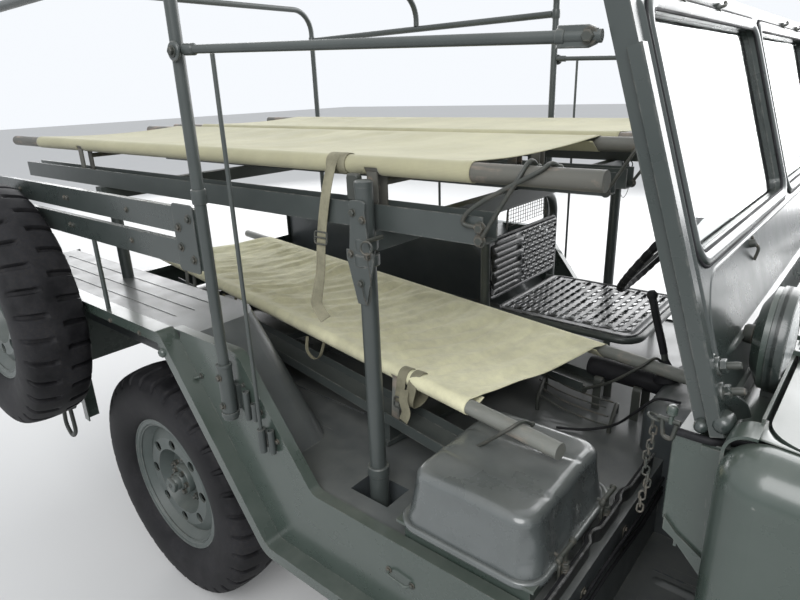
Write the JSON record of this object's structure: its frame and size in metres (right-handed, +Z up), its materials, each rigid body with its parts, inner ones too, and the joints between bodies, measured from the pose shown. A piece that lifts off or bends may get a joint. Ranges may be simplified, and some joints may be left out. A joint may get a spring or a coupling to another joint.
{
  "type": "military ambulance truck",
  "caption": "Open light field ambulance truck with a leaning windshield, tube roof frame, litter racks with folding litters, spare wheel on its side and a drop tailgate.",
  "frame": {"origin": "centre of the bounding box on the ground under the tyres", "axes": "+X forward, +Y to the driver's left, +Z up"},
  "size_m": [3.7728, 2.012, 1.9395],
  "materials": {
    "black_steel": "satin",
    "canvas": "matte",
    "clear_glass": "gloss",
    "dark_iron": "matte",
    "deck_paint": "matte",
    "lamp": "satin",
    "olive_paint": "matte",
    "pole_wood": "matte",
    "tyre": "matte",
    "wheel_paint": "matte"
  },
  "bodies": {
    "body": {"battery_box": "olive_paint", "battery_cover": "olive_paint", "bow_sockets": "olive_paint", "cowl": "olive_paint", "engine": "dark_iron", "floor_tub": "deck_paint", "front_bumper": "olive_paint", "front_fender_left": "olive_paint", "front_fender_right": "olive_paint", "front_suspension": "dark_iron", "grille_panel": "olive_paint", "lamps": "lamp", "lower_litter_canvas": "canvas", "lower_litter_poles": "pole_wood", "lower_rack": "olive_paint", "main_bow": "olive_paint", "middle_bow": "olive_paint", "mirror": "olive_paint", "propeller_shafts": "dark_iron", "rack_posts": "olive_paint", "radiator": "dark_iron", "rear_bow": "olive_paint", "rear_panel": "olive_paint", "rear_suspension": "dark_iron", "roof_bars": "olive_paint", "seat_frame": "olive_paint", "seat_panels": "black_steel", "side_panel_left": "olive_paint", "side_panel_right": "olive_paint", "side_rails": "olive_paint", "spare_carrier": "olive_paint", "spare_tyre": "tyre", "spare_wheel": "wheel_paint", "spot_lamp": "lamp", "steering_column": "black_steel", "underframe": "dark_iron", "upper_litter_left_canvas": "canvas", "upper_litter_left_poles": "pole_wood", "upper_litter_right_canvas": "canvas", "upper_litter_right_poles": "pole_wood", "upper_rails": "olive_paint", "wheelhouse_left": "deck_paint", "wheelhouse_right": "deck_paint", "windshield_frame": "olive_paint", "windshield_glass": "clear_glass"},
    "hood": {"hood": "olive_paint"},
    "tailgate": {"tailgate": "olive_paint"},
    "steering_wheel": {"steering_wheel": "black_steel"},
    "knuckle_right": {"knuckle_right": "dark_iron"},
    "knuckle_left": {"knuckle_left": "dark_iron"},
    "wheel_front_right": {"tyre_front_right": "tyre", "wheel_front_right": "wheel_paint"},
    "wheel_front_left": {"tyre_front_left": "tyre", "wheel_front_left": "wheel_paint"},
    "wheel_rear_right": {"tyre_rear_right": "tyre", "wheel_rear_right": "wheel_paint"},
    "wheel_rear_left": {"tyre_rear_left": "tyre", "wheel_rear_left": "wheel_paint"}
  },
  "joints": [
    {"name": "hood_hinge", "type": "hinge", "parent": "body", "child": "hood", "pos_m": [0.704, 0, 1.155], "axis": [0, -1, 0], "range_deg": [0, 70]},
    {"name": "tailgate_hinge", "type": "hinge", "parent": "body", "child": "tailgate", "pos_m": [-1.705, 0, 0.704], "axis": [0, -1, 0], "range_deg": [0, 90]},
    {"name": "steering_turn", "type": "hinge", "parent": "body", "child": "steering_wheel", "pos_m": [0.262, 0.385, 1.085], "axis": [-0.8192, 0, 0.5736], "range_deg": [-440, 440]},
    {"name": "steer_right", "type": "hinge", "parent": "body", "child": "knuckle_right", "pos_m": [1.324, -0.578, 0.384], "axis": [0, 0, 1], "range_deg": [-28, 28]},
    {"name": "steer_left", "type": "hinge", "parent": "body", "child": "knuckle_left", "pos_m": [1.324, 0.578, 0.384], "axis": [0, 0, 1], "range_deg": [-28, 28]},
    {"name": "spin_front_right", "type": "hinge", "parent": "knuckle_right", "child": "wheel_front_right", "pos_m": [1.324, -0.673, 0.384], "axis": [0, 1, 0], "continuous": true},
    {"name": "spin_front_left", "type": "hinge", "parent": "knuckle_left", "child": "wheel_front_left", "pos_m": [1.324, 0.673, 0.384], "axis": [0, 1, 0], "continuous": true},
    {"name": "spin_rear_right", "type": "hinge", "parent": "body", "child": "wheel_rear_right", "pos_m": [-0.835, -0.673, 0.384], "axis": [0, 1, 0], "continuous": true},
    {"name": "spin_rear_left", "type": "hinge", "parent": "body", "child": "wheel_rear_left", "pos_m": [-0.835, 0.673, 0.384], "axis": [0, 1, 0], "continuous": true}
  ],
  "couplings": [
    {"joint": "steer_right", "follows": "steering_turn", "ratio": 0.0625},
    {"joint": "steer_left", "follows": "steering_turn", "ratio": 0.0625}
  ]
}
